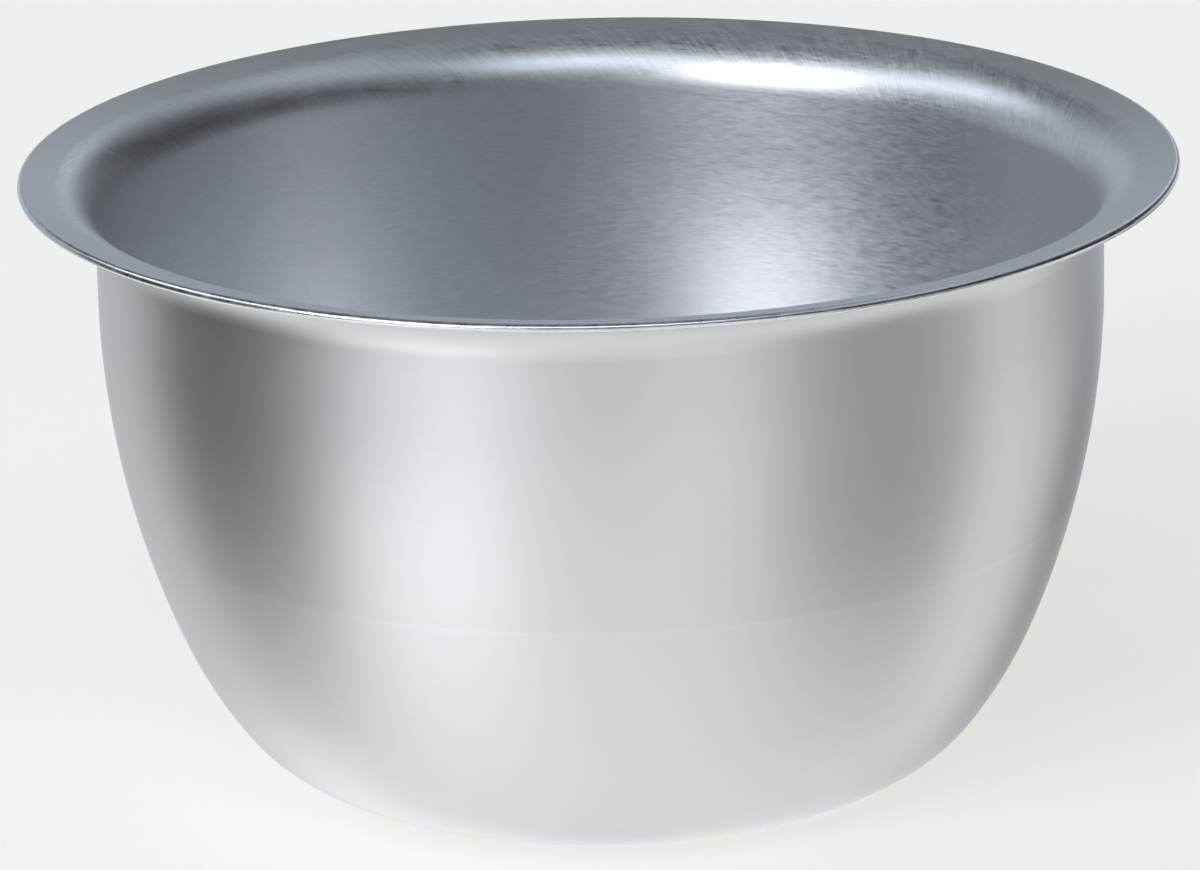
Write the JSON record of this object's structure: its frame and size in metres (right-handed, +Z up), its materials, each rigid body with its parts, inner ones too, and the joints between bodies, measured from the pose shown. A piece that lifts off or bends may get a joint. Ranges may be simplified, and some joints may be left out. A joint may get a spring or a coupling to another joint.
{
  "type": "mixing bowl",
  "caption": "Deep round mixing bowl of satin stainless steel sheet, with a flat base, an upright upper wall and a rim rolled out into a slightly rising hemmed lip.",
  "frame": {"origin": "centre of the base, on the surface that the bowl stands on", "axes": "+Z up along the bowl's axis of revolution, towards its open top"},
  "size_m": [0.276, 0.276, 0.148],
  "materials": {
    "satin_steel": "satin, brushed round the bowl"
  },
  "bodies": {
    "root": {"base_panel": "satin_steel", "standing_ring": "satin_steel", "base_corner": "satin_steel", "wall_foot": "satin_steel", "lower_wall": "satin_steel", "middle_wall": "satin_steel", "upper_wall": "satin_steel", "rim_flare": "satin_steel", "rim_hem": "satin_steel"}
  },
  "joints": []
}
